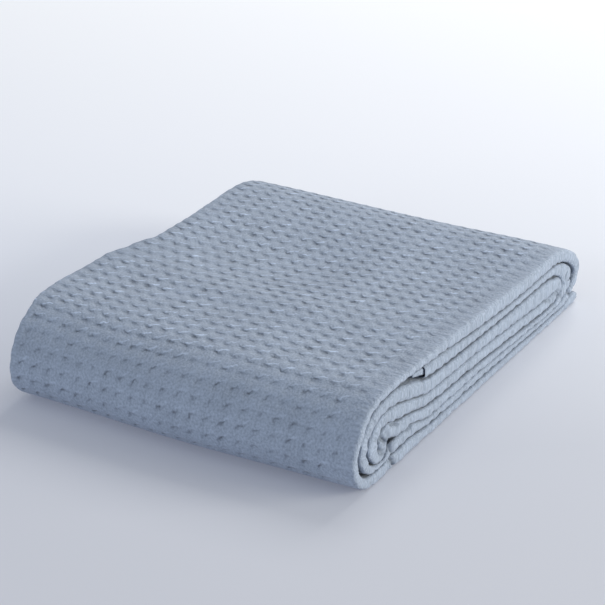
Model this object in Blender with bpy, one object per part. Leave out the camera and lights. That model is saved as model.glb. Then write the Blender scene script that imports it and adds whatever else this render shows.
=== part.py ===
# Waffle weave cotton blanket, folded: one solid band of doubled cloth laid back and forth in seven
# passes, a little apart. It rests on its lowest pass. X runs across the band to its rounded lips,
# Y along the passes and Z up, with the origin under the middle of the stack. Sizes are in millimetres.

import math

import bmesh
import bpy

MM = 0.001

HALF_REACH = 142.5      # from the middle of the stack to its furthest lips, along X
LIP_REACH = 5.5         # length of a lip's rounding, along X
LIP_STEPS = 3
SPAN_STEPS = 7          # straight steps across the band between its two lips
LAYER_GAP = 0.6         # air between neighbouring passes
TIP_THICK = 0.6         # thickness left at the very tip of a hem
PASS_STEP = 17.0        # step along a pass; all passes share these places, so their faces nest
TURN_STEPS = 7          # stations along each half of a turn
HEM_STEPS = 4

# Heights of the faces between the passes, at eight stations from the near end to the far end.
STATION_Y = (-142.0, -128.0, -104.0, -73.0, -4.0, 65.0, 127.0, 140.0)
FACE_HEIGHTS = {
    "top": (64.2, 64.2, 64.0, 62.8, 61.4, 58.0, 55.0, 53.8),
    "under pass 1": (56.8, 57.8, 57.3, 55.2, 49.7, 46.2, 44.8, 43.2),
    "under pass 2": (56.0, 57.0, 52.4, 43.5, 40.7, 39.3, 37.1, 34.2),
    "under pass 3": (46.2, 45.2, 39.6, 32.4, 30.4, 26.9, 22.8, 23.2),
    "under pass 4": (36.8, 33.0, 29.2, 22.8, 20.7, 17.3, 13.8, 14.0),
    "under pass 5": (12.2, 19.4, 19.8, 13.7, 13.5, 11.7, 9.4, 9.4),
    "under pass 6": (8.5, 9.6, 10.0, 7.2, 6.6, 6.0, 4.8, 4.8),
    "floor": (0.0, 0.0, 0.0, 0.0, 0.0, 0.0, 0.0, 0.0),
}
FACES = tuple(FACE_HEIGHTS.values())
TOP_PASS = 1
LOWEST_PASS = len(FACES) - 1

# One row for each turn: the passes it joins, where it leaves each of them, and its outermost point.
TURNS = {
    "far inner": dict(
        upper=3, upper_y=139.8, lower=4, lower_y=139.8, crown_y=145.6, crown_z=23.6, crown_thick=8.0
    ),
    "far middle": dict(
        upper=2, upper_y=124.0, lower=5, lower_y=140.0, crown_y=164.6, crown_z=23.5, crown_thick=6.4
    ),
    "far outer": dict(
        upper=1, upper_y=116.0, lower=6, lower_y=142.0, crown_y=182.0, crown_z=25.5, crown_thick=10.0
    ),
    "near middle": dict(
        upper=3, upper_y=-138.0, lower=6, lower_y=-148.0, crown_y=-170.8, crown_z=26.5, crown_thick=11.4
    ),
    "near outer": dict(
        upper=1, upper_y=-134.0, lower=7, lower_y=-157.0, crown_y=-181.3, crown_z=25.5, crown_thick=7.2
    ),
}

# The inner near turn is bunched: pass 5 ends in a blunt nose that doubles back under itself, and
# the band then comes round its own foot and up to pass 4. It leaves a hollow under the nose.
BUNCH = dict(lower=5, lower_y=-118.0, upper=4, upper_y=-136.0, steps=3)
BUNCH_KNOTS = (
    dict(y=-125.0, z=26.7, thick=10.6),
    dict(y=-132.0, z=28.8, thick=10.8),
    dict(y=-138.2, z=30.4, thick=10.6),
    dict(y=-143.0, z=28.8, thick=9.4),
    dict(y=-145.0, z=24.2, thick=7.8),
    dict(y=-145.4, z=19.8, thick=7.0),
    dict(y=-147.8, z=17.0, thick=6.8),
    dict(y=-151.4, z=17.2, thick=7.4),
    dict(y=-154.8, z=21.2, thick=10.2),
    dict(y=-156.6, z=27.0, thick=13.6),
    dict(y=-154.8, z=33.0, thick=12.2),
    dict(y=-150.2, z=37.7, thick=10.4),
    dict(y=-143.6, z=40.6, thick=9.2),
)

# The band's two loose ends: a thin hem tucked under the top pass, and a swollen one on the floor.
TUCKED_HEM = dict(number=2, end_y=-105.0, round_length=6.0)
FLOOR_HEM = dict(number=7, swell_from_y=151.0, swell_to_y=177.0, end_y=183.0, thick=9.0)

# How far the lips on the +X side stand back, for each pass from the top down.
LIP_SETBACK = (0.0, 2.0, 0.6, 1.4, 0.8, 1.6, 1.0)

# How far all the lips on the -X side stand back, by y, and how much more the near turn's foot does.
LEFT_EDGE = (
    dict(y=-184.0, back=7.0),
    dict(y=-160.0, back=4.5),
    dict(y=-130.0, back=1.0),
    dict(y=-100.0, back=0.0),
    dict(y=-45.0, back=0.5),
    dict(y=-20.0, back=7.5),
    dict(y=5.0, back=15.0),
    dict(y=45.0, back=15.0),
    dict(y=85.0, back=13.0),
    dict(y=115.0, back=10.5),
    dict(y=145.0, back=9.5),
    dict(y=184.0, back=11.0),
)
LEFT_FOOT = dict(back=7.0, under_z=16.0, from_y=-150.0, over_y=20.0)

# Soft troughs and ridges that show through the whole stack: centre, spread and height at the top.
SWELLS = (
    dict(x=-10.0, y=-55.0, spread_x=90.0, spread_y=18.0, rise=1.4),
    dict(x=95.0, y=-105.0, spread_x=40.0, spread_y=30.0, rise=-1.0),
    dict(x=100.0, y=35.0, spread_x=30.0, spread_y=45.0, rise=-0.8),
    dict(x=-15.0, y=20.0, spread_x=95.0, spread_y=52.0, rise=-3.6),
    dict(x=38.0, y=10.0, spread_x=30.0, spread_y=110.0, rise=1.5),
    dict(x=-142.0, y=15.0, spread_x=55.0, spread_y=80.0, rise=3.6),
    dict(x=-142.0, y=135.0, spread_x=160.0, spread_y=110.0, rise=9.5),
    dict(x=-142.0, y=-130.0, spread_x=80.0, spread_y=60.0, rise=2.0),
    dict(x=60.0, y=140.0, spread_x=90.0, spread_y=35.0, rise=1.6),
    dict(x=110.0, y=145.0, spread_x=50.0, spread_y=45.0, rise=2.4),
    dict(x=10.0, y=100.0, spread_x=30.0, spread_y=30.0, rise=0.8),
)

# The near side isn't square to the rest: it stands back towards its -X end.
SKEW = dict(back=9.0, from_x=30.0, over_x=172.0, from_y=-90.0, over_y=85.0)

CLOTH_COLOUR = (0.31, 0.38, 0.47, 1.0)
CLOTH_ROUGHNESS = 0.9


def clear_scene():
    for old in list(bpy.data.objects):
        bpy.data.objects.remove(old, do_unlink=True)


def ease(share):
    share = min(1.0, max(0.0, share))
    return share * share * (3.0 - 2.0 * share)


def mix(first, second, share):
    return first + (second - first) * share


def height_at(heights, y):
    """One face's height at y: a smooth line through its stations that never overshoots them."""
    if y <= STATION_Y[0]:
        return heights[0]
    if y >= STATION_Y[-1]:
        return heights[-1]
    slopes = [
        (heights[i + 1] - heights[i]) / (STATION_Y[i + 1] - STATION_Y[i])
        for i in range(len(STATION_Y) - 1)
    ]
    tangents = [0.0] * len(STATION_Y)
    for i in range(1, len(slopes)):
        if slopes[i - 1] * slopes[i] > 0.0:
            tangents[i] = 2.0 * slopes[i - 1] * slopes[i] / (slopes[i - 1] + slopes[i])
    i = max(k for k in range(len(slopes)) if STATION_Y[k] <= y)
    run = STATION_Y[i + 1] - STATION_Y[i]
    t = (y - STATION_Y[i]) / run
    return (
        (2 * t**3 - 3 * t**2 + 1) * heights[i]
        + (t**3 - 2 * t**2 + t) * run * tangents[i]
        + (3 * t**2 - 2 * t**3) * heights[i + 1]
        + (t**3 - t**2) * run * tangents[i + 1]
    )


def pass_row(number, y):
    """The middle height and thickness of a pass at y, with the air gap taken off its inner faces."""
    above = height_at(FACES[number - 1], y)
    below = height_at(FACES[number], y)
    if number > TOP_PASS:
        above -= LAYER_GAP / 2
    if number < LOWEST_PASS:
        below += LAYER_GAP / 2
    return dict(y=y, z=(above + below) / 2, thick=above - below, number=float(number), level=True)


def pass_rows(number, from_y, to_y):
    """A pass from one turn to the next, with rows at its two ends and at the shared steps between."""
    low, high = min(from_y, to_y), max(from_y, to_y)
    first_step = math.floor(low / PASS_STEP + 0.5) + 1
    last_step = math.ceil(high / PASS_STEP - 0.5) - 1
    places = [low] + [PASS_STEP * i for i in range(first_step, last_step + 1)] + [high]
    if from_y > to_y:
        places.reverse()
    return [pass_row(number, y) for y in places]


def half_turn_rows(turn, end):
    """From a pass out to the turn's crown, along a quarter of an ellipse."""
    start = pass_row(turn[end], turn[end + "_y"])
    crown_number = (turn["upper"] + turn["lower"]) / 2
    rows = []
    for i in range(1, TURN_STEPS + 1):
        angle = math.pi / 2 * i / TURN_STEPS
        bent = 1.0 - math.cos(angle)
        rows.append(
            dict(
                y=mix(start["y"], turn["crown_y"], math.sin(angle)),
                z=mix(start["z"], turn["crown_z"], bent),
                thick=mix(start["thick"], turn["crown_thick"], math.sqrt(bent)),
                number=mix(start["number"], crown_number, i / TURN_STEPS),
                level=False,
            )
        )
    return rows


def turn_rows(name, from_above):
    turn = TURNS[name]
    upper_half = half_turn_rows(turn, "upper")
    lower_half = half_turn_rows(turn, "lower")
    if from_above:
        return upper_half + lower_half[-2::-1]
    return lower_half + upper_half[-2::-1]


def through_knots(before, start, end, after, share):
    """A smooth curve from start to end, with the slopes that its neighbours give it."""
    return 0.5 * (
        2.0 * start
        + (end - before) * share
        + (2.0 * before - 5.0 * start + 4.0 * end - after) * share**2
        + (3.0 * start - before - 3.0 * end + after) * share**3
    )


def bunch_rows():
    """From pass 5 round the bunched inner turn to pass 4, without the two passes' own end rows."""
    knots = [pass_row(BUNCH["lower"], BUNCH["lower_y"])]
    knots += BUNCH_KNOTS
    knots += [pass_row(BUNCH["upper"], BUNCH["upper_y"])]
    stretches = len(knots) - 1
    rows = []
    for k in range(1, stretches * BUNCH["steps"]):
        i, step = divmod(k, BUNCH["steps"])
        around = (knots[max(i - 1, 0)], knots[i], knots[i + 1], knots[min(i + 2, stretches)])
        share = step / BUNCH["steps"]
        row = {key: through_knots(*(knot[key] for knot in around), share) for key in ("y", "z", "thick")}
        number = mix(BUNCH["lower"], BUNCH["upper"], k / (stretches * BUNCH["steps"]))
        rows.append(dict(row, number=number, level=False))
    return rows


def tucked_hem_rows():
    hem = TUCKED_HEM
    rows = []
    for i in range(HEM_STEPS):
        angle = math.pi / 2 * i / HEM_STEPS
        row = pass_row(hem["number"], hem["end_y"] + hem["round_length"] * (1.0 - math.cos(angle)))
        row["thick"] = mix(TIP_THICK, row["thick"], math.sin(angle))
        rows.append(row)
    return rows


def floor_hem_rows():
    hem = FLOOR_HEM
    rows = []
    for i in range(1, HEM_STEPS + 1):
        y = mix(hem["swell_from_y"], hem["swell_to_y"], i / HEM_STEPS)
        flat = pass_row(hem["number"], y)
        thick = mix(flat["thick"], hem["thick"], ease(i / HEM_STEPS))
        rows.append(dict(flat, z=thick / 2, thick=thick))
    for i in range(1, HEM_STEPS + 1):
        angle = math.pi / 2 * i / HEM_STEPS
        y = mix(hem["swell_to_y"], hem["end_y"], math.sin(angle))
        rows.append(dict(rows[HEM_STEPS - 1], y=y, thick=mix(TIP_THICK, hem["thick"], math.cos(angle))))
    return rows


def band_rows():
    """The whole fold, from the hem under the top pass, inwards, and out again to the hem on the floor."""
    rows = tucked_hem_rows()
    rows += pass_rows(2, TUCKED_HEM["end_y"] + TUCKED_HEM["round_length"], TURNS["far middle"]["upper_y"])
    rows += turn_rows("far middle", from_above=True)
    rows += pass_rows(5, TURNS["far middle"]["lower_y"], BUNCH["lower_y"])
    rows += bunch_rows()
    rows += pass_rows(4, BUNCH["upper_y"], TURNS["far inner"]["lower_y"])
    rows += turn_rows("far inner", from_above=False)
    rows += pass_rows(3, TURNS["far inner"]["upper_y"], TURNS["near middle"]["upper_y"])
    rows += turn_rows("near middle", from_above=True)
    rows += pass_rows(6, TURNS["near middle"]["lower_y"], TURNS["far outer"]["lower_y"])
    rows += turn_rows("far outer", from_above=False)
    rows += pass_rows(1, TURNS["far outer"]["upper_y"], TURNS["near outer"]["upper_y"])
    rows += turn_rows("near outer", from_above=True)
    rows += pass_rows(7, TURNS["near outer"]["lower_y"], FLOOR_HEM["swell_from_y"])
    rows += floor_hem_rows()
    return rows


def across_band():
    """The band's cut across its length: (share of the way along X, lip share, side) for each corner."""
    lip = [math.pi * i / (LIP_STEPS + 1) for i in range(1, LIP_STEPS + 1)]
    upper = [(mix(-1.0, 1.0, i / SPAN_STEPS), 0.0, 1.0) for i in range(SPAN_STEPS + 1)]
    upper_lip = [(1.0, math.sin(a), math.cos(a)) for a in lip]
    half = upper + upper_lip
    other_half = [(-along, out, -side) for along, out, side in half]
    return half + other_half


def left_edge(y):
    """The -X side's setback at y, smooth between the rows of its table."""
    if y <= LEFT_EDGE[0]["y"]:
        return LEFT_EDGE[0]["back"]
    for low, high in zip(LEFT_EDGE, LEFT_EDGE[1:]):
        if y <= high["y"]:
            return mix(low["back"], high["back"], ease((y - low["y"]) / (high["y"] - low["y"])))
    return LEFT_EDGE[-1]["back"]


def setback(side, number, y, z):
    """How far a lip stands back from the furthest one on its side."""
    if side > 0.0:
        first = min(int(number), LOWEST_PASS - 1)
        return mix(LIP_SETBACK[first - 1], LIP_SETBACK[first], number - first)
    foot = LEFT_FOOT
    low = ease((foot["under_z"] - z) / foot["under_z"])
    near = ease((foot["from_y"] - y) / foot["over_y"])
    return left_edge(y) + foot["back"] * low * near


def lip_x(along, out, number, y, z):
    tip = HALF_REACH - setback(along, number, y, z) * abs(along)
    return along * (tip - LIP_REACH) + math.copysign(LIP_REACH * out, along)


def settled(x, y, z):
    """The stack's own unevenness: its skewed near side, and swells that are full at its top."""
    towards_left = ease((SKEW["from_x"] - x) / SKEW["over_x"])
    towards_near = ease((SKEW["from_y"] - y) / SKEW["over_y"])
    top = FACES[0][0]
    rise = sum(
        s["rise"] * math.exp(-(((x - s["x"]) / s["spread_x"]) ** 2) - ((y - s["y"]) / s["spread_y"]) ** 2)
        for s in SWELLS
    )
    y += SKEW["back"] * towards_left * towards_near
    return x, y, z + rise * z / top


def band_normals(rows):
    normals = []
    for i in range(len(rows)):
        before = rows[max(i - 1, 0)]
        after = rows[min(i + 1, len(rows) - 1)]
        dy = after["y"] - before["y"]
        dz = after["z"] - before["z"]
        if rows[i]["level"]:
            normals.append((0.0, math.copysign(1.0, dy)))
        else:
            length = math.hypot(dy, dz)
            normals.append((-dz / length, dy / length))
    return normals


def build_blanket():
    rows = band_rows()
    corners = across_band()
    mesh = bmesh.new()
    rings = []
    for row, (normal_y, normal_z) in zip(rows, band_normals(rows)):
        ring = []
        for along, out, side in corners:
            y = row["y"] + normal_y * side * row["thick"] / 2
            z = row["z"] + normal_z * side * row["thick"] / 2
            x = lip_x(along, out, row["number"], row["y"], row["z"])
            x, y, z = settled(x, y, z)
            ring.append(mesh.verts.new((x * MM, y * MM, max(0.0, z) * MM)))
        rings.append(ring)
    for ring, next_ring in zip(rings, rings[1:]):
        for i in range(len(ring)):
            k = (i + 1) % len(ring)
            mesh.faces.new((ring[i], ring[k], next_ring[k], next_ring[i]))
    mesh.faces.new(rings[0][::-1])
    mesh.faces.new(rings[-1])
    bmesh.ops.triangulate(mesh, faces=mesh.faces[:])
    bmesh.ops.recalc_face_normals(mesh, faces=mesh.faces[:])
    data = bpy.data.meshes.new("blanket")
    mesh.to_mesh(data)
    mesh.free()
    data.shade_smooth()
    blanket = bpy.data.objects.new("blanket", data)
    bpy.context.scene.collection.objects.link(blanket)
    return blanket


def cotton_material():
    cotton = bpy.data.materials.new("waffle_cotton")
    cotton.use_nodes = True
    shader = cotton.node_tree.nodes["Principled BSDF"]
    shader.inputs["Base Color"].default_value = CLOTH_COLOUR
    shader.inputs["Roughness"].default_value = CLOTH_ROUGHNESS
    shader.inputs["Metallic"].default_value = 0.0
    return cotton


clear_scene()
build_blanket().data.materials.append(cotton_material())
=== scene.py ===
# Folded waffle weave cotton blanket on a pale floor
import bisect
import math

import bpy
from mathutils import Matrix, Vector, noise


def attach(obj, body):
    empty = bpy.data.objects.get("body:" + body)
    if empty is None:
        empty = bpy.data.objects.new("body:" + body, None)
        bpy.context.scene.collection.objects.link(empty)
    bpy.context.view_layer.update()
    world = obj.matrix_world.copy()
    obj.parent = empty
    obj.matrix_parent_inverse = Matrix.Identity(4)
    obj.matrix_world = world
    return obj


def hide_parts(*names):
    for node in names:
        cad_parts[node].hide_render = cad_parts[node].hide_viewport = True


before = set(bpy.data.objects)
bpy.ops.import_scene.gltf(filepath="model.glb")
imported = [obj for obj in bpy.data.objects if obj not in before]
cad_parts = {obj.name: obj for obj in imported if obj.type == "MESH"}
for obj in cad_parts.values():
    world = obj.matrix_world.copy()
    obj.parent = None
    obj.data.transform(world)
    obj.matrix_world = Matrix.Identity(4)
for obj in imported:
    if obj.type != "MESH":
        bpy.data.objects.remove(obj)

noise.seed_set(7)  # or the noise of the weave would be seeded from the clock

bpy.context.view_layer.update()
mm = 0.001

camera = {
    "place": (0.70195, -1.25044, 0.68036),      # metres
    "azimuth": 29.3,        # degrees, from looking along +Y round towards +X
    "elevation": 24.1,
    "lens": 127.7,
    "sensor": 36.0,
    "clip": (0.05, 30.0),
}


def makeCamera():
    data = bpy.data.cameras.new("camera")
    data.lens = camera["lens"]
    data.sensor_width = camera["sensor"]
    data.clip_start, data.clip_end = camera["clip"]
    ob = bpy.data.objects.new("camera", data)
    ob.location = camera["place"]
    ob.rotation_euler = (
        math.radians(90.0 - camera["elevation"]), 0.0, math.radians(camera["azimuth"])
    )
    bpy.context.scene.collection.objects.link(ob)
    bpy.context.scene.camera = ob


makeCamera()
print("scene: camera made")

# The fold's path comes from the same tables as the solid, in millimetres.
stack = {
    "halfReach": 142.5,     # middle of the stack to its furthest lips, along X
    "lipReach": 5.5,
    "passes": 7,
    "rowStep": 2.0,         # from row to row along a pass
}

# Air under each pass but the last, from the top down.
layerGaps = (1.7, 1.0, 0.8, 0.7, 0.7, 0.6)

stationY = (-142.0, -128.0, -104.0, -73.0, -4.0, 65.0, 127.0, 140.0)
faceHeights = (
    (64.2, 64.2, 64.0, 62.8, 61.4, 58.0, 55.0, 53.8),     # top
    (56.8, 57.8, 57.3, 55.2, 49.7, 46.2, 44.8, 43.2),     # under pass 1, and so on down
    (56.0, 57.0, 52.4, 43.5, 40.7, 39.3, 37.1, 34.2),
    (46.2, 45.2, 39.6, 32.4, 30.4, 26.9, 22.8, 23.2),
    (36.8, 33.0, 29.2, 22.8, 20.7, 17.3, 13.8, 14.0),
    (12.2, 19.4, 19.8, 13.7, 13.5, 11.7, 9.4, 9.4),
    (8.5, 9.6, 10.0, 7.2, 6.6, 6.0, 4.8, 4.8),
    (0.0, 0.0, 0.0, 0.0, 0.0, 0.0, 0.0, 0.0),             # floor
)

turns = {
    "farInner": dict(
        upper=3, upperY=139.8, lower=4, lowerY=139.8, crownY=148.0, crownZ=23.8, crownThick=9.4
    ),
    "farMiddle": dict(
        upper=2, upperY=124.0, lower=5, lowerY=140.0, crownY=169.2, crownZ=23.5, crownThick=8.6
    ),
    "farOuter": dict(
        upper=1, upperY=116.0, lower=6, lowerY=142.0, crownY=182.0, crownZ=25.5, crownThick=10.0
    ),
    "nearMiddle": dict(
        upper=3, upperY=-138.0, lower=6, lowerY=-148.0, crownY=-170.2, crownZ=26.5, crownThick=10.2
    ),
    "nearOuter": dict(
        upper=1, upperY=-134.0, lower=7, lowerY=-157.0, crownY=-181.3, crownZ=25.5, crownThick=7.2
    ),
}

# The inner near turn: pass 5 ends in a blunt nose, doubles back under itself and comes up to pass 4.
bunch = dict(lower=5, lowerY=-118.0, upper=4, upperY=-136.0)
bunchKnots = (              # y, z, thickness
    (-125.0, 26.7, 10.6),
    (-132.0, 28.8, 10.8),
    (-138.2, 30.4, 10.6),
    (-143.0, 28.8, 9.4),
    (-145.0, 24.2, 7.8),
    (-145.4, 19.8, 7.0),
    (-147.8, 17.0, 6.8),
    (-151.4, 17.2, 7.4),
    (-154.8, 21.2, 10.2),
    (-156.6, 27.0, 13.6),
    (-154.8, 33.0, 12.2),
    (-150.2, 37.7, 10.4),
    (-143.6, 40.6, 9.2),
)

hems = {
    "tuckedEndY": -100.0,   # the inner plies' end in pass 2
    "tuckedRound": 5.0,
    "tuckedTip": 2.4,       # thickness left at its tip
    "outerShort": 18.0,     # the two outer plies end this much earlier
    "shortFades": 220.0,    # and catch up over this length
    "loopShare": 0.6,       # the inner plies' share of the thickness at that end
    "loopTo": 14.0,         # they keep it so far along the path
    "loopFades": 60.0,
    "hangTop": 0.94,        # and hang from the top of the pass there
    "hangFrom": 4.0,
    "hangFades": 22.0,
    "floorSwellFrom": 151.0,
    "floorSwellTo": 177.0,
    "floorEndY": 183.0,
    "floorThick": 9.0,
    "floorTip": 6.0,
    "turnRadius": 0.5,      # of the cloth turned back along its edges
    "turnLimit": 0.22,      # at most this share of the plies' thickness
    "turnBack": 9.0,
}

# How far the lips on the +X side stand back, for each pass from the top down.
lipSetback = (0.0, 1.4, 0.6, 1.4, 0.8, 1.6, 1.0)

# On the -X side all folds stand back alike: y, setback.
leftEdge = (
    (-184.0, 7.0), (-160.0, 4.5), (-130.0, 1.0), (-100.0, 0.0), (-45.0, 0.5), (-20.0, 7.5),
    (5.0, 15.0), (45.0, 15.0), (85.0, 13.0), (115.0, 10.5), (145.0, 9.5), (184.0, 11.0),
)
leftFoot = dict(back=7.0, underZ=16.0, fromY=-150.0, overY=20.0)   # and more near the floor

# Soft troughs and ridges that show through the whole stack: x, y, spread x, spread y, rise at the top.
swells = (
    (-10.0, -55.0, 90.0, 20.0, 1.9),
    (95.0, -105.0, 40.0, 30.0, -1.0),
    (100.0, 35.0, 30.0, 45.0, -0.8),
    (-15.0, 20.0, 95.0, 52.0, -4.0),
    (38.0, 10.0, 30.0, 110.0, 1.5),
    (-142.0, 15.0, 55.0, 80.0, 3.6),
    (-142.0, 135.0, 160.0, 110.0, 9.5),
    (-142.0, -130.0, 80.0, 60.0, 2.0),
    (-100.0, -158.0, 75.0, 30.0, -2.4),
    (60.0, 140.0, 90.0, 35.0, 1.6),
    (110.0, 145.0, 50.0, 45.0, 2.4),
    (10.0, 100.0, 30.0, 30.0, 0.8),
)

# The near side stands back this far at its -X end.
skew = {
    "nearLeft": 9.0,
    "fromX": 30.0,
    "overX": 172.0,
    "fromY": -90.0,
    "overY": 85.0,
}


def ease(share):
    share = min(1.0, max(0.0, share))
    return share * share * (3.0 - 2.0 * share)


def mix(first, second, share):
    return first + (second - first) * share


def heightAt(heights, y):
    # smooth through the stations, never past them
    if y <= stationY[0]:
        return heights[0]
    if y >= stationY[-1]:
        return heights[-1]
    slopes = [
        (heights[i + 1] - heights[i]) / (stationY[i + 1] - stationY[i])
        for i in range(len(stationY) - 1)
    ]
    tangents = [0.0] * len(stationY)
    for i in range(1, len(slopes)):
        if slopes[i - 1] * slopes[i] > 0.0:
            tangents[i] = 2.0 * slopes[i - 1] * slopes[i] / (slopes[i - 1] + slopes[i])
    i = bisect.bisect_right(stationY, y) - 1
    run = stationY[i + 1] - stationY[i]
    t = (y - stationY[i]) / run
    return (
        (2 * t**3 - 3 * t**2 + 1) * heights[i]
        + (t**3 - 2 * t**2 + t) * run * tangents[i]
        + (3 * t**2 - 2 * t**3) * heights[i + 1]
        + (t**3 - t**2) * run * tangents[i + 1]
    )


def passRow(number, y):
    above = heightAt(faceHeights[number - 1], y)
    below = heightAt(faceHeights[number], y)
    if number > 1:
        above -= layerGaps[number - 2] / 2
    if number < stack["passes"]:
        below += layerGaps[number - 1] / 2
    return dict(y=y, z=(above + below) / 2, thick=above - below, number=float(number), level=True)


def passRows(number, fromY, toY):
    count = max(1, round(abs(toY - fromY) / stack["rowStep"]))
    return [passRow(number, mix(fromY, toY, i / count)) for i in range(count + 1)]


def halfTurnRows(turn, end, steps=24):
    start = passRow(turn[end], turn[end + "Y"])
    crownNumber = (turn["upper"] + turn["lower"]) / 2
    rows = []
    for i in range(1, steps + 1):
        angle = math.pi / 2 * i / steps
        bent = 1.0 - math.cos(angle)
        rows.append(
            dict(
                y=mix(start["y"], turn["crownY"], math.sin(angle)),
                z=mix(start["z"], turn["crownZ"], bent),
                thick=mix(start["thick"], turn["crownThick"], math.sqrt(bent)),
                number=mix(start["number"], crownNumber, i / steps),
                level=False,
            )
        )
    return rows


def turnRows(name, fromAbove):
    upperHalf = halfTurnRows(turns[name], "upper")
    lowerHalf = halfTurnRows(turns[name], "lower")
    if fromAbove:
        return upperHalf + lowerHalf[-2::-1]
    return lowerHalf + upperHalf[-2::-1]


def throughKnots(before, start, end, after, share):
    return 0.5 * (
        2.0 * start
        + (end - before) * share
        + (2.0 * before - 5.0 * start + 4.0 * end - after) * share**2
        + (3.0 * start - before - 3.0 * end + after) * share**3
    )


def bunchRows(steps=8):
    first = passRow(bunch["lower"], bunch["lowerY"])
    last = passRow(bunch["upper"], bunch["upperY"])
    ends = [(row["y"], row["z"], row["thick"]) for row in (first, last)]
    knots = [ends[0], *bunchKnots, ends[1]]
    stretches = len(knots) - 1
    rows = []
    for k in range(1, stretches * steps):
        i, step = divmod(k, steps)
        around = (knots[max(i - 1, 0)], knots[i], knots[i + 1], knots[min(i + 2, stretches)])
        y, z, thick = (throughKnots(*(knot[c] for knot in around), step / steps) for c in range(3))
        number = mix(bunch["lower"], bunch["upper"], k / (stretches * steps))
        rows.append(dict(y=y, z=z, thick=thick, number=number, level=False))
    return rows


def tuckedHemRows(steps=8):
    rows = []
    for i in range(steps):
        angle = math.pi / 2 * i / steps
        row = passRow(2, hems["tuckedEndY"] + hems["tuckedRound"] * (1.0 - math.cos(angle)))
        row["thick"] = mix(hems["tuckedTip"], row["thick"], math.sin(angle))
        rows.append(row)
    return rows


def floorHemRows(steps=10):
    rows = []
    for i in range(1, steps + 1):
        y = mix(hems["floorSwellFrom"], hems["floorSwellTo"], i / steps)
        flat = passRow(7, y)
        thick = mix(flat["thick"], hems["floorThick"], ease(i / steps))
        rows.append(dict(flat, z=thick / 2, thick=thick))
    last = rows[-1]
    for i in range(1, steps + 1):
        angle = math.pi / 2 * i / steps
        y = mix(hems["floorSwellTo"], hems["floorEndY"], math.sin(angle))
        rows.append(dict(last, y=y, thick=mix(hems["floorTip"], hems["floorThick"], math.cos(angle))))
    return rows


# Turns that swell into the hollow inside them: which rows meet them there, on which side, the air left
# between, the most that they swell, and the stretch of the turn that does.
swollenTurns = {
    "farMiddle": dict(
        against=("farInner", "pass3", "pass4"), side=-1.0, leave=0.9, most=9.0, within=(0.1, 0.95)
    ),
    "bunch": dict(against=("pass6", "nearMiddle"), side=1.0, leave=1.6, most=5.0, within=(0.18, 0.50)),
}
swelling = {"step": 0.25, "smooth": 3}      # millimetres at a time, and rows on either side


def swellTurn(rows, name, turn):
    others = [row for row in rows if row["part"] in turn["against"]]
    mine = [row for row in rows if row["part"] == name]
    low, high = (share * (len(mine) - 1) for share in turn["within"])
    extras = []
    for i, row in enumerate(mine):
        extra = 0.0
        while low <= i <= high and extra < turn["most"]:
            away = turn["side"] * (row["thick"] / 2 + extra)
            y = row["y"] + row["ny"] * away
            z = row["z"] + row["nz"] * away
            gap = min(math.hypot(y - o["y"], z - o["z"]) - o["thick"] / 2 for o in others)
            if gap < turn["leave"]:
                break
            extra += swelling["step"]
        extras.append(extra)
    for i, row in enumerate(mine):
        near = extras[max(0, i - swelling["smooth"]):i + swelling["smooth"] + 1]
        extra = sum(near) / len(near)
        row["thick"] += extra
        row["y"] += row["ny"] * turn["side"] * extra / 2
        row["z"] += row["nz"] * turn["side"] * extra / 2


def foldPath():
    # from the tucked hem inwards and out again to the hem on the floor
    stretches = (
        ("tuckedHem", tuckedHemRows()),
        ("pass2", passRows(2, hems["tuckedEndY"] + hems["tuckedRound"], turns["farMiddle"]["upperY"])),
        ("farMiddle", turnRows("farMiddle", fromAbove=True)),
        ("pass5", passRows(5, turns["farMiddle"]["lowerY"], bunch["lowerY"])),
        ("bunch", bunchRows()),
        ("pass4", passRows(4, bunch["upperY"], turns["farInner"]["lowerY"])),
        ("farInner", turnRows("farInner", fromAbove=False)),
        ("pass3", passRows(3, turns["farInner"]["upperY"], turns["nearMiddle"]["upperY"])),
        ("nearMiddle", turnRows("nearMiddle", fromAbove=True)),
        ("pass6", passRows(6, turns["nearMiddle"]["lowerY"], turns["farOuter"]["lowerY"])),
        ("farOuter", turnRows("farOuter", fromAbove=False)),
        ("pass1", passRows(1, turns["farOuter"]["upperY"], turns["nearOuter"]["upperY"])),
        ("nearOuter", turnRows("nearOuter", fromAbove=True)),
        ("pass7", passRows(7, turns["nearOuter"]["lowerY"], hems["floorSwellFrom"])),
        ("floorHem", floorHemRows()),
    )
    rows = [dict(row, part=name) for name, some in stretches for row in some]
    run = 0.0
    for i, row in enumerate(rows):
        before = rows[max(i - 1, 0)]
        after = rows[min(i + 1, len(rows) - 1)]
        dy = after["y"] - before["y"]
        dz = after["z"] - before["z"]
        length = math.hypot(dy, dz)
        if row["level"]:
            row["ny"], row["nz"] = 0.0, math.copysign(1.0, dy)
        else:
            row["ny"], row["nz"] = -dz / length, dy / length
        if i:
            run += math.hypot(row["y"] - before["y"], row["z"] - before["z"])
        row["run"] = run
    for name, turn in swollenTurns.items():
        swellTurn(rows, name, turn)
    return rows


path = foldPath()
pathRuns = [row["run"] for row in path]
pathLength = pathRuns[-1]
print("scene: fold path", len(path), "rows,", round(pathLength), "mm long")


def pathAt(run):
    run = min(max(run, 0.0), pathLength)
    i = min(bisect.bisect_right(pathRuns, run), len(path) - 1)
    low, high = path[i - 1], path[i]
    span = high["run"] - low["run"]
    share = (run - low["run"]) / span if span > 0.0 else 0.0
    row = {key: mix(low[key], high[key], share) for key in ("y", "z", "thick", "number", "ny", "nz")}
    size = math.hypot(row["ny"], row["nz"])
    row["ny"] /= size
    row["nz"] /= size
    return row


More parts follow.
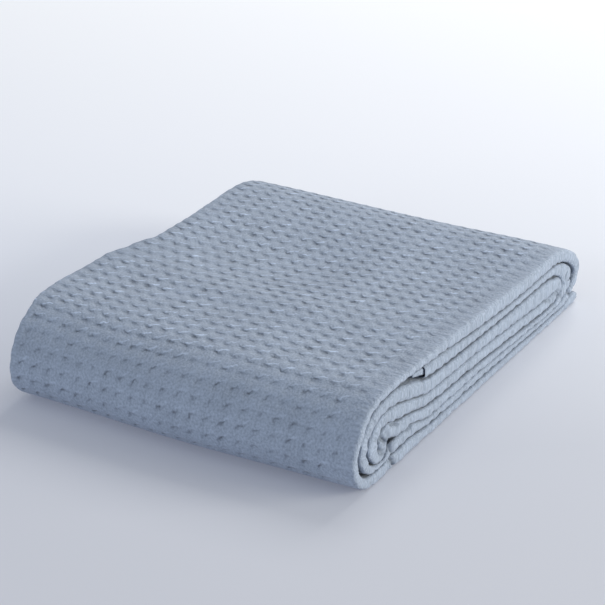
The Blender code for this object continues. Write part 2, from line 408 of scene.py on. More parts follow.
def runsOf(part):
    runs = [row["run"] for row in path if row["part"] == part]
    return runs[0], runs[-1]


def alongTable(table, at):
    # smooth between the rows of a two-column table
    if at <= table[0][0]:
        return table[0][1]
    for (low, first), (high, second) in zip(table, table[1:]):
        if at <= high:
            return mix(first, second, ease((at - low) / (high - low)))
    return table[-1][1]


def setback(side, number, y, z):
    if side > 0.0:
        first = min(int(number), stack["passes"] - 1)
        return mix(lipSetback[first - 1], lipSetback[first], number - first)
    low = ease((leftFoot["underZ"] - z) / leftFoot["underZ"])
    near = ease((leftFoot["fromY"] - y) / leftFoot["overY"])
    return alongTable(leftEdge, y) + leftFoot["back"] * low * near


def settled(x, y, z):
    # the stack's own unevenness: its near side stands back towards -X, and it swells and sags
    towardsLeft = ease((skew["fromX"] - x) / skew["overX"])
    towardsNear = ease((skew["fromY"] - y) / skew["overY"])
    rise = sum(
        up * math.exp(-(((x - cx) / sx) ** 2) - ((y - cy) / sy) ** 2) for cx, cy, sx, sy, up in swells
    )
    y += skew["nearLeft"] * towardsLeft * towardsNear
    return x, y, z + rise * z / faceHeights[0][0]


# The cloth is one sheet, folded in four across its width, then back and forth along the path.
cloth = {
    "spanShort": 7.0,       # a ply is this much narrower than the space between the folds
    "lipWidth": 14.0,       # of flat cloth that goes round each fold
    "backWidth": 12.0,
    "innerLipWidth": 8.0,
    "innerLipReach": 3.0,
    "innerLipStand": (1.0, 3.0),    # it stands back from the lip, at the tucked hem and beyond
    "edgeStand": (1.5, 2.5),    # the long edges of a and d reach this far past the foot of the -X folds
    "innerShare": 1.0 / 3.0,    # the inner plies' share of a pass
    "lipFullness": 0.5,     # under 1 is fuller than an ellipse
    "puckerOut": 0.5,       # how much of a pucker goes outwards, how much upwards, and the most of it
    "puckerUp": 0.6,
    "puckerUpMost": 0.25,
}

# Steps and columns of the mesh.
grid = {
    "outside": 1.525,       # eight to a cell
    "outsideMargin": (3.0, 6.0),    # the fine cloth starts before the far turn and ends past the near one
    "outsideGap": 3.0,
    "lip": 2.0,
    "crease": 0.9,          # in the lip beside a crease
    "creaseMargin": 2.0,
    "bunch": 0.75,
    "bunchMargin": (12.0, 6.0),
    "hem": (30.0, 1.3),     # length and step at the tucked hem, at its inner fold and at the floor hem
    "innerHem": (30.0, 1.5),
    "floorHem": (20.0, 1.5),
    "hemBends": (0.33, 0.67),
    "back": 3.2,
    "edge": 5.0,
    "hidden": 14.0,
    "hiddenBend": 0.24,     # radians of turn between two hidden rows
    "shortest": 2.0,
    "hiddenColumns": 9,
    "lipColumns": 13,
    "bunchColumns": 24,
    "backColumns": 7,
    "innerColumns": 6,
}

weave = {
    "pitch": 12.2,          # of the cells, both ways
    "depth": 0.72,
    "pitPlace": (-1.2, -0.5),   # of a pit in its cell, towards +X and +Y
    "pitLean": 21.0,        # degrees: the long pits lean down towards +X
    "pitHalf": 4.1,         # half length
    "threadPlace": (2.2, 3.7),  # of the long thread that stands proud beyond each pit
    "threadLean": -27.0,
    "gentle": 6.0,          # width of the pit's gentle wall, and of the steep one
    "steep": 3.0,
    "pitEnd": 2.5,          # half lengths after which nothing is left of it
    "corner": 0.3,          # rise where four cells meet
    "cornerPower": 1.5,
    "uneven": 0.7,
    "cellSeeds": (7.31, 5.17, 0.5),
    "wander": 3.8,          # the most that the rows of cells stray
    "wanderPace": 0.013,    # per millimetre
    "wanderSeed": 3.0,
    "plainFrom": 1.0,       # the cells fade this close to a lip
    "plainEdge": 13.0,
    "plainShare": 0.15,
    "lipShare": 0.1,
    "fadeIn": 6.0,
    "sideShare": 0.9,       # they are drawn flatter round the near side
    "flatterOver": 40.0,
    "sideOver": 32.0,       # where the pits turn to another lean over this length
    "sideLean": -43.0,
    "sideCurl": 0.08,       # and bend, per millimetre
    "pucker": 0.95,         # of the lips
    "puckerBeat": 0.45,     # its part that keeps time with the cells
    "puckerNoises": ((0.9, 5.0, 3.7, 1.5), (0.5, 17.0, 1.3, 8.5)),  # share, length, step to a pass, seed
}

# Short creases in the lips of the +X side: from y, z to y, z, then depth and half width.
creaseReach = 25.0
creaseFade = dict(fromX=128.0, overX=10.0)
creases = (
    (-146.1, 31.3, -139.4, 24.6, 3.0, 1.0),
    (-150.3, 31.4, -140.6, 23.9, 2.2, 0.8),
    (-148.2, 22.5, -141.5, 16.3, 2.4, 1.0),
    (-149.9, 20.2, -143.8, 15.6, 1.6, 0.8),
    (-135.8, 23.5, -130.6, 13.7, 3.0, 1.6),
    (-131.6, 7.3, -127.2, 1.5, 3.6, 1.4),
    (-134.6, 6.9, -132.6, 1.6, 1.4, 0.9),
    (-108.3, 17.8, -101.5, 18.1, 2.0, 0.9),
    (-132.6, 33.4, -122.8, 29.6, 2.2, 1.3),
    (-139.0, 31.2, -135.3, 25.8, 1.4, 0.9),
    (-50.0, 54.5, -47.0, 50.0, 1.8, 0.9),
    (158.0, 28.4, 171.8, 22.9, 1.6, 1.0),
    (169.6, 19.6, 172.7, 15.5, 1.8, 1.0),
    (165.7, 13.7, 171.6, 9.2, 2.4, 1.5),
    (171.2, 27.3, 176.9, 24.1, 1.8, 1.2),
    (139.5, 21.6, 148.4, 22.6, 1.8, 0.9),
    (139.5, 21.6, 151.8, 15.8, 1.4, 0.9),
    (154.2, 12.6, 157.3, 13.7, 2.0, 1.2),
    (123.0, 22.6, 130.1, 20.9, 2.0, 1.1),
)


def evenRuns(low, high, step):
    count = max(1, round((high - low) / step))
    return [mix(low, high, i / count) for i in range(count + 1)]


def joinedRuns(*stretches):
    runs = list(stretches[0])
    for stretch in stretches[1:]:
        runs += stretch[1:]
    return runs


def hiddenRuns(low, high):
    runs = [low]
    last = pathAt(low)
    for row in path:
        if not low < row["run"] < high:
            continue
        bend = math.acos(max(-1.0, min(1.0, last["ny"] * row["ny"] + last["nz"] * row["nz"])))
        if row["run"] - runs[-1] > grid["hidden"] or bend > grid["hiddenBend"]:
            runs.append(row["run"])
            last = row
    if high - runs[-1] < grid["shortest"] and len(runs) > 1:
        runs.pop()
    return runs + [high]


def plyWidths():
    # flat width of each stretch across the sheet, in the order that they come
    span = 2.0 * (stack["halfReach"] - stack["lipReach"]) - cloth["spanShort"]
    hem = hems["turnBack"] + math.pi * hems["turnRadius"]
    return {
        "hemA": hem,
        "a": span,
        "lip": cloth["lipWidth"],
        "b": span,
        "back": cloth["backWidth"],
        "c": span,
        "innerLip": cloth["innerLipWidth"],
        "d": span,
        "hemD": hem,
    }


widths = plyWidths()
starts = {}
sheetWidth = 0.0
for name, width in widths.items():
    starts[name] = sheetWidth
    sheetWidth += width

outsideFrom = runsOf("farOuter")[0] - grid["outsideMargin"][0]
outsideTo = runsOf("nearOuter")[1] + grid["outsideMargin"][1]
bunchFrom, bunchTo = runsOf("bunch")
nearFrom = runsOf("nearOuter")[0]
topFrom = runsOf("pass1")[0]


def turnedBack(run, radius):
    # past either end the cloth is turned back on itself: the run that it lies over, and how far inside
    beyond = max(-run, run - pathLength, 0.0)
    angle = min(beyond / radius, math.pi)
    outwards = radius * math.sin(angle) - max(0.0, beyond - math.pi * radius)
    if run < 0.0:
        run = -outwards
    elif run > pathLength:
        run = pathLength + outwards
    return run, radius * (1.0 - math.cos(angle))


def clothPoint(run, ply, across):
    # across runs from 0 to 1 along the ply or fold named by ply
    outer = {"hemA": 1.0, "a": 1.0, "lip": 1.0, "b": 1.0, "back": 1.0 - across}.get(ply, 0.0)
    held = min(max(run, 0.0), pathLength)
    short = hems["outerShort"] * (1.0 - ease(held / hems["shortFades"]))
    row = pathAt(held + short * outer)
    half = row["thick"] / 2
    fades = hems["loopFades"]
    inner = mix(hems["loopShare"], cloth["innerShare"], ease((held - hems["loopTo"]) / fades))
    radius = min(hems["turnRadius"], hems["turnLimit"] * half * mix(inner, 1.0 - inner, outer))
    lain, inset = turnedBack(run, radius)
    row = pathAt(lain + short * outer)
    hung = 1.0 - ease((held - hems["hangFrom"]) / hems["hangFades"])
    lift = half * (hems["hangTop"] - inner) * hung
    y0 = row["y"] + min(lain, 0.0) + max(lain - pathLength, 0.0)
    half = row["thick"] / 2
    right = stack["halfReach"] - setback(1.0, row["number"], y0, row["z"])
    left = -(stack["halfReach"] - setback(-1.0, row["number"], y0, row["z"]))
    reach = stack["lipReach"] - inset
    innerRight = right - mix(*cloth["innerLipStand"], ease(run / fades))
    innerReach = cloth["innerLipReach"]
    full = cloth["lipFullness"]
    angle = math.pi * across
    away = math.sin(angle) ** full
    side = math.copysign(abs(math.cos(angle)) ** full, math.cos(angle))
    edgeA, edgeD = (left + reach - stand for stand in cloth["edgeStand"])
    along = across * widths["hemA"]
    if ply == "hemA":
        turn = max(0.0, along - hems["turnBack"]) / hems["turnRadius"]
        x = edgeA + max(0.0, hems["turnBack"] - along) - radius * math.sin(turn)
        offset = half - inset - radius * (1.0 + math.cos(turn))
    elif ply == "a":
        x = mix(edgeA, right - reach, across)
        offset = half - inset
    elif ply == "lip":
        pucker = lipPucker(run, row["number"])
        upwards = cloth["puckerUp"] * min(pucker, cloth["puckerUpMost"])
        x = right - reach + (reach + cloth["puckerOut"] * pucker) * away
        offset = (half - inset) * side + upwards * math.sin(2.0 * angle)
    elif ply == "b":
        x = mix(right - reach, left + reach, across)
        offset = inset - half
    elif ply == "back":
        x = left + reach - reach * away
        middle = -(1.0 + inner) / 2
        offset = half * (middle - (1.0 - inner) / 2 * side) + inset
    elif ply == "c":
        x = mix(left + reach, innerRight - innerReach, across)
        offset = lift + inset - half * inner
    elif ply == "innerLip":
        x = innerRight - innerReach + (innerReach - inset) * away
        offset = lift - (half * inner - inset) * side
    elif ply == "d":
        x = mix(innerRight - innerReach, edgeD, across)
        offset = lift + half * inner - inset
    else:
        turn = min(along / hems["turnRadius"], math.pi)
        x = edgeD + max(0.0, along - math.pi * hems["turnRadius"]) - radius * math.sin(turn)
        offset = lift + half * inner - inset - radius * (1.0 - math.cos(turn))
    y = y0 + row["ny"] * offset
    z = row["z"] + row["nz"] * offset
    x, y, z = settled(x, y, z)
    return (x, y, max(0.0, z))


def lipPucker(run, number):
    # the weave's cells and odd tucks make the lips slightly uneven along their run
    uneven = weave["puckerBeat"] * math.cos(2.0 * math.pi * run / weave["pitch"])
    for share, length, passStep, seed in weave["puckerNoises"]:
        uneven += share * noise.noise(Vector((run / length, number * passStep, seed)))
    return weave["pucker"] * uneven


class Sheet:
    def __init__(self):
        self.points = []
        self.flat = []          # across and along the flat sheet
        self.faces = []
        self.zone = []

    def add(self, point, across, along, zone):
        self.points.append(point)
        self.flat.append((across, along))
        self.zone.append(zone)
        return len(self.points) - 1

    def stitch(self, first, second, firstAt, secondAt):
        # joins two lines of points whose steps differ
        i = k = 0
        while i < len(first) - 1 or k < len(second) - 1:
            firstDone = i == len(first) - 1
            secondDone = k == len(second) - 1
            if secondDone or (not firstDone and firstAt[i + 1] <= secondAt[k + 1]):
                self.faces.append((first[i], first[i + 1], second[k]))
                i += 1
            else:
                self.faces.append((first[i], second[k + 1], second[k]))
                k += 1


sheet = Sheet()


def addZone(ply, parts, zone):
    # parts are (runs, column shares), and the left and right borders come back as (ids, runs)
    allRows = []
    for runs, shares in parts:
        for run in runs:
            ids = [
                sheet.add(clothPoint(run, ply, share), starts[ply] + widths[ply] * share, run, zone)
                for share in shares
            ]
            allRows.append((run, ids, shares))
    for (_, low, lowShares), (_, high, highShares) in zip(allRows, allRows[1:]):
        if len(low) == len(high):
            for i in range(len(low) - 1):
                sheet.faces.append((low[i], low[i + 1], high[i + 1], high[i]))
        else:
            sheet.stitch(low, high, lowShares, highShares)
    runs = [run for run, _, _ in allRows]
    return ([ids[0] for _, ids, _ in allRows], runs), ([ids[-1] for _, ids, _ in allRows], runs)


def evenShares(count):
    return [i / count for i in range(count + 1)]


def withHems(runs):
    # the cloth turned back at both ends
    turn = math.pi * hems["turnRadius"]
    back = hems["turnBack"]
    before = [-turn - back, -turn - back / 2, *(-turn * share for share in (1.0, 0.66, 0.33))]
    return before + runs + [pathLength - run for run in reversed(before)]


def creasedHere(run):
    row = pathAt(run)
    reach = row["thick"] / 2 + grid["creaseMargin"]
    for y1, z1, y2, z2, _, _ in creases:
        for t in (0.0, 0.5, 1.0):
            if math.hypot(row["y"] - mix(y1, y2, t), row["z"] - mix(z1, z2, t)) < reach:
                return True
    return False


def lipRunsBetween(low, high):
    runs = [low]
    while runs[-1] < high:
        step = grid["crease"] if creasedHere(runs[-1]) else grid["lip"]
        runs.append(runs[-1] + step)
    runs[-1] = high
    return runs


def buildCloth():
    hidden = withHems(hiddenRuns(0.0, pathLength))
    fineFrom = bunchFrom - grid["bunchMargin"][0]
    fineTo = bunchTo + grid["bunchMargin"][1]
    hemLength, hemStep = grid["hem"]
    innerLength, innerStep = grid["innerHem"]
    floorLength, floorStep = grid["floorHem"]
    lipRuns = withHems(
        joinedRuns(
            evenRuns(0.0, hemLength, hemStep),
            lipRunsBetween(hemLength, fineFrom),
            evenRuns(fineFrom, fineTo, grid["bunch"]),
            lipRunsBetween(fineTo, pathLength - floorLength),
            evenRuns(pathLength - floorLength, pathLength, floorStep),
        )
    )
    slack = 0.1
    first = bisect.bisect_left(lipRuns, fineFrom - slack)
    last = bisect.bisect_right(lipRuns, fineTo + slack)
    lipParts = (lipRuns[:first], lipRuns[first:last], lipRuns[last:])
    backRuns = withHems(
        joinedRuns(
            evenRuns(0.0, outsideFrom, grid["back"]),
            evenRuns(outsideFrom, outsideTo, grid["outside"]),
            evenRuns(outsideTo, pathLength, grid["back"]),
        )
    )
    edgeRuns = withHems(evenRuns(0.0, pathLength, grid["edge"]))
    coarse = evenShares(grid["hiddenColumns"])
    # a fold leaves out its first and last column: the plies beside it own those
    lipShares = evenShares(grid["lipColumns"])[1:-1]
    bunchShares = evenShares(grid["bunchColumns"])[1:-1]
    backShares = evenShares(grid["backColumns"])[1:-1]
    innerShares = evenShares(grid["innerColumns"])[1:-1]
    flatShare = hems["turnBack"] / widths["hemA"]
    bends = [mix(flatShare, 1.0, share) for share in grid["hemBends"]]
    hemShares = [0.0, flatShare * 0.5, flatShare, *bends]
    fine = evenShares(round(widths["b"] / grid["outside"]))
    hiddenBefore = [run for run in hidden if run < outsideFrom - grid["outsideGap"]]
    hiddenAfter = [run for run in hidden if run > outsideTo + grid["outsideGap"]]
    outside = evenRuns(outsideFrom, outsideTo, grid["outside"])
    innerRuns = withHems(
        joinedRuns(evenRuns(0.0, innerLength, innerStep), hiddenRuns(innerLength, pathLength))
    )
    zones = [
        addZone("hemA", [(edgeRuns, hemShares)], "hem"),
        addZone("a", [(hidden, coarse)], "hidden"),
        addZone("lip", list(zip(lipParts, (lipShares, bunchShares, lipShares))), "lip"),
        addZone("b", [(hiddenBefore, coarse), (outside, fine), (hiddenAfter, coarse)], "outside"),
        addZone("back", [(backRuns, backShares)], "back"),
        addZone("c", [(hidden, coarse)], "hidden"),
        addZone("innerLip", [(innerRuns, innerShares)], "inner"),
        addZone("d", [(hidden, coarse)], "hidden"),
        addZone("hemD", [(edgeRuns, [1.0 - share for share in reversed(hemShares)])], "hem"),
    ]
    for (_, (leftIds, leftRuns)), ((rightIds, rightRuns), _) in zip(zones, zones[1:]):
        # both borders run the same way, so the join is wound like the grids
        sheet.stitch(rightIds, leftIds, rightRuns, leftRuns)


buildCloth()
print("scene: cloth", len(sheet.points), "points,", len(sheet.faces), "faces")

mesh = bpy.data.meshes.new("blanketCloth")
mesh.from_pydata([(x * mm, y * mm, z * mm) for x, y, z in sheet.points], [], sheet.faces)
mesh.update()
blanket = bpy.data.objects.new("blanketCloth", mesh)
bpy.context.scene.collection.objects.link(blanket)
print("scene: triangles", sum(len(p.vertices) - 2 for p in mesh.polygons))


def outerSlip(along):
    # the outside of a turn is longer than its middle line, and the cells keep their size on it
    row = pathAt(along)
    turnedBy = math.acos(max(-1.0, min(1.0, -row["nz"])))
    return math.copysign(row["thick"] / 2 * turnedBy, along - topFrom)


def weaveCells(across, along):
    # where a point lies in the grid of cells: whole numbers are ridges, halves are the middle of a pit
    pace = weave["wanderPace"]
    stray = noise.noise_vector(Vector((across * pace, along * pace, weave["wanderSeed"])))
    a = (across - starts["b"] + weave["wander"] * stray.x) / weave["pitch"]
    b = (along + outerSlip(along) + weave["wander"] * stray.y) / weave["pitch"]
    return a, b


def nearShare(along):
    return ease((along - nearFrom) / weave["sideOver"])


def cellHeight(a, b, side):
    # a long slanting pit in each cell, steep on its far side, and a soft rise where cells meet
    px = (0.5 - a % 1.0) * weave["pitch"] - weave["pitPlace"][0]
    py = (0.5 - b % 1.0) * weave["pitch"] - weave["pitPlace"][1]
    lean = math.radians(mix(weave["pitLean"], weave["sideLean"], side))
    seedA, seedB, seed = weave["cellSeeds"]
    height = 0.0
    for i in (-1, 0, 1):
        for k in (-1, 0, 1):
            qx = px + i * weave["pitch"]
            qy = py + k * weave["pitch"]
            alongPit = qx * math.cos(lean) - qy * math.sin(lean)
            acrossPit = qx * math.sin(lean) + qy * math.cos(lean)
            if abs(alongPit) > weave["pitEnd"] * weave["pitHalf"]:
                continue
            acrossPit += weave["sideCurl"] * side * alongPit**2
            wall = weave["gentle"] if acrossPit < 0.0 else weave["steep"]
            if abs(acrossPit) >= wall:
                continue
            cell = ((math.floor(a) + i) * seedA, (math.floor(b) + k) * seedB, seed)
            uneven = noise.noise(Vector(cell))
            pit = (1.0 - ease(abs(acrossPit) / wall)) * math.exp(-((alongPit / weave["pitHalf"]) ** 2))
            height -= weave["depth"] * pit * (1.0 + weave["uneven"] * uneven)
    corner = abs(a % 1.0 - 0.5) * abs(b % 1.0 - 0.5) * 4.0
    return height + weave["corner"] * corner ** weave["cornerPower"]


def cellShare(i):
    # how fully the cells show at a point: less near the lips of the +X side
    across, along = sheet.flat[i]
    if sheet.zone[i] in ("outside", "back"):
        fromLip = ease((across - starts["b"] - weave["plainFrom"]) / weave["plainEdge"])
        flatter = ease((along - nearFrom) / weave["flatterOver"])
        return mix(weave["plainShare"], 1.0, fromLip) * mix(1.0, weave["sideShare"], flatter)
    if sheet.zone[i] == "lip":
        return weave["lipShare"]
    return weave["plainShare"]


def creaseDepth(y, z):
    deepest = 0.0
    for y1, z1, y2, z2, depth, width in creases:
        if abs(y - y1) > creaseReach:
            continue
        dy, dz = y2 - y1, z2 - z1
        t = max(0.0, min(1.0, ((y - y1) * dy + (z - z1) * dz) / (dy * dy + dz * dz)))
        away = math.hypot(y - y1 - t * dy, z - z1 - t * dz)
        deepest = max(deepest, depth * math.exp(-((away / width) ** 2)))
    return deepest


# Painted shade where the cloth lies deep between two passes and along the creases: shares across the lip,
# and lengths along the path.
tucks = {
    "upper": 0.20,
    "lower": 0.80,
    "fades": 0.14,
    "hemFrom": 4.0,
    "hemFades": 10.0,
    "hollowAbove": 45.0,    # the hollow beside the tucked hem is open to the light
    "hollowReach": 16.0,
    "creaseShadeShare": 0.35,    # per millimetre of a crease's depth
}


def tucked(i):
    # painted shade: 1 where the cloth lies deep between two passes, 0 where it is open to the light;
    # creases add to it
    across, along = sheet.flat[i]
    if sheet.zone[i] == "hidden":
        ends = (along - tucks["hemFrom"], pathLength - tucks["hemFrom"] - along)
        return ease(ends[0] / tucks["hemFades"]) * ease(ends[1] / tucks["hemFades"])
    if sheet.zone[i] != "lip":
        return 0.0
    share = (across - starts["lip"]) / widths["lip"]
    deep = ease((tucks["upper"] - share) / tucks["fades"])
    if along < outsideFrom:
        deep = max(deep, ease((share - tucks["lower"]) / tucks["fades"]))
    _, y, z = sheet.points[i]
    if z > tucks["hollowAbove"]:
        deep *= 1.0 - math.exp(-(((y - hems["tuckedEndY"]) / tucks["hollowReach"]) ** 2))
    return max(deep, min(1.0, tucks["creaseShadeShare"] * creaseDepth(y, z)))


def pressRelief(cells):
    # moves the points along their normals by the weave's relief, and the lips in by their creases
    normals = [tuple(n.vector) for n in mesh.vertex_normals]
    moved = []
    for i, (x, y, z) in enumerate(sheet.points):
        a, b, share = cells[i]
        along = sheet.flat[i][1]
        fade = weave["fadeIn"]
        shown = ease((along - outsideFrom) / fade) * ease((outsideTo - along) / fade)
        if sheet.zone[i] in ("outside", "back") and shown > 0.0:
            lift = cellHeight(a, b, nearShare(along)) * share * shown
            nx, ny, nz = normals[i]
            x, y, z = x + nx * lift, y + ny * lift, z + nz * lift
        if x > creaseFade["fromX"]:
            x -= creaseDepth(y, z) * ease((x - creaseFade["fromX"]) / creaseFade["overX"])
        moved.append((x * mm, y * mm, max(0.0, z) * mm))
    mesh.vertices.foreach_set("co", [c for point in moved for c in point])
    mesh.update()
    mesh.shade_smooth()


def storeValues(cells):
    # what the material reads: place on the flat sheet, place in the weave, and the two shares, one for
    # the painted shade where the cloth lies deep and one for the near side
    uv = mesh.uv_layers.new(name="flatCloth")
    loopVerts = [0] * len(mesh.loops)
    mesh.loops.foreach_get("vertex_index", loopVerts)
    uv.data.foreach_set("uv", [c * mm for v in loopVerts for c in sheet.flat[v]])
    cellData = mesh.attributes.new("weaveCells", "FLOAT_VECTOR", "POINT")
    cellData.data.foreach_set("vector", [c for cell in cells for c in cell])
    shares = {
        "tucked": [tucked(i) for i in range(len(sheet.points))],
        "nearSide": [nearShare(along) for _, along in sheet.flat],
    }
    for name, values in shares.items():
        mesh.attributes.new(name, "FLOAT", "POINT").data.foreach_set("value", values)


clothCells = [(*weaveCells(*sheet.flat[i]), cellShare(i)) for i in range(len(sheet.points))]
pressRelief(clothCells)
storeValues(clothCells)
print("scene: weave relief done")


def addNode(tree, kind, **settings):
    node = tree.nodes.new(kind)
    for key, value in settings.items():
        setattr(node, key, value)
    return node


def feed(tree, node, *values):
    # each value is a socket to link or a plain number, for the node's inputs in order
    for socket, value in zip(node.inputs, values):
        if isinstance(value, bpy.types.NodeSocket):
            tree.links.new(value, socket)
        elif value is not None:
            socket.default_value = value


def maths(tree, operation, *values):
    node = addNode(tree, "ShaderNodeMath", operation=operation)
    feed(tree, node, *values)
    return node.outputs[0]


def softStep(tree, value, low, high):
    node = addNode(tree, "ShaderNodeMapRange", interpolation_type="SMOOTHSTEP")
    feed(tree, node, value, low, high, 0.0, 1.0)
    return node.outputs[0]


def product(tree, value, *others):
    for other in others:
        value = maths(tree, "MULTIPLY", value, other)
    return value


def tinted(tree, colour, tint):
    node = addNode(tree, "ShaderNodeMix", data_type="RGBA", blend_type="MULTIPLY")
    sockets = {socket.identifier: socket for socket in node.inputs}
    sockets["Factor_Float"].default_value = 1.0
    tree.links.new(colour, sockets["A_Color"])
    tree.links.new(tint, sockets["B_Color"])
    return next(socket for socket in node.outputs if socket.identifier == "Result_Color")


def newGroup(name, inputs, outputs):
    tree = bpy.data.node_groups.new(name, "ShaderNodeTree")
    for label, kind in inputs:
        tree.interface.new_socket(label, in_out="INPUT", socket_type="NodeSocket" + kind)
    for label, kind in outputs:
        tree.interface.new_socket(label, in_out="OUTPUT", socket_type="NodeSocket" + kind)
    return tree, addNode(tree, "NodeGroupInput").outputs, addNode(tree, "NodeGroupOutput").inputs


def bell(tree, value, middle, width, power=2.0):
    away = maths(tree, "ABSOLUTE", maths(tree, "SUBTRACT", value, middle))
    away = maths(tree, "POWER", maths(tree, "DIVIDE", away, width), power)
    return maths(tree, "EXPONENT", maths(tree, "MULTIPLY", away, -1.0))


def turned(tree, x, y, lean, place):
    # coordinates along and across a mark that leans by this angle
    sine = maths(tree, "SINE", lean)
    cosine = maths(tree, "COSINE", lean)
    x = maths(tree, "SUBTRACT", x, place[0])
    y = maths(tree, "SUBTRACT", y, place[1])
    along = maths(tree, "SUBTRACT", maths(tree, "MULTIPLY", x, cosine), maths(tree, "MULTIPLY", y, sine))
    across = maths(tree, "ADD", maths(tree, "MULTIPLY", x, sine), maths(tree, "MULTIPLY", y, cosine))
    return along, across


def noiseOver(tree, where, scale, detail):
    node = addNode(tree, "ShaderNodeTexNoise", noise_dimensions="2D")
    tree.links.new(where, node.inputs["Vector"])
    node.inputs["Scale"].default_value = scale
    node.inputs["Detail"].default_value = detail
    return node.outputs


def aroundZero(tree, value):
    return maths(tree, "SUBTRACT", value, 0.5)


# The marks of the weave, in millimetres, and the noises over the flat sheet as scale and detail.
marks = {
    "chance": (0.8, 0.6),           # how much a cell's own chance adds, and the least that it shows
    "pitLong": 3.6,
    # painted shade in each pit: a dark core and a wide halo
    "core": (0.3, 2.5, 0.8, 0.95),  # middle and width along the mark, then across it
    "halo": (0.0, 4.4, 0.3, 2.2),
    "haloSide": -0.6,               # less of it round the near side
    "gentleWall": (-4.5, 0.3),
    "steepWall": (2.4, 0.5),
    "thread": (4.4, 4.0, 0.8),      # width and squareness along, and width across
    "threadPower": 12.0,            # the long threads lie flat again where the cells fade
    "strays": (210.0, 1.0),
    "mottle": (38.0, 3.0),
    "fuzz": (620.0, 3.0),
    "wrinkles": (1.0, 3.0),
    "wrinkleScale": (95.0, 250.0, 1.0),
    "pitHeight": -0.55,
    "threadHeight": 0.3,
    "fuzzHeight": 0.5,
}


def markShade(tree, along, across, mark):
    return product(tree, bell(tree, along, *mark[:2]), bell(tree, across, *mark[2:]))


def placeInCell(tree, cell, strays, wobble):
    # millimetres from the middle of the cell, as the marks stray
    away = product(tree, maths(tree, "SUBTRACT", 0.5, maths(tree, "FRACT", cell)), weave["pitch"])
    return maths(tree, "MULTIPLY_ADD", aroundZero(tree, strays), wobble, away)


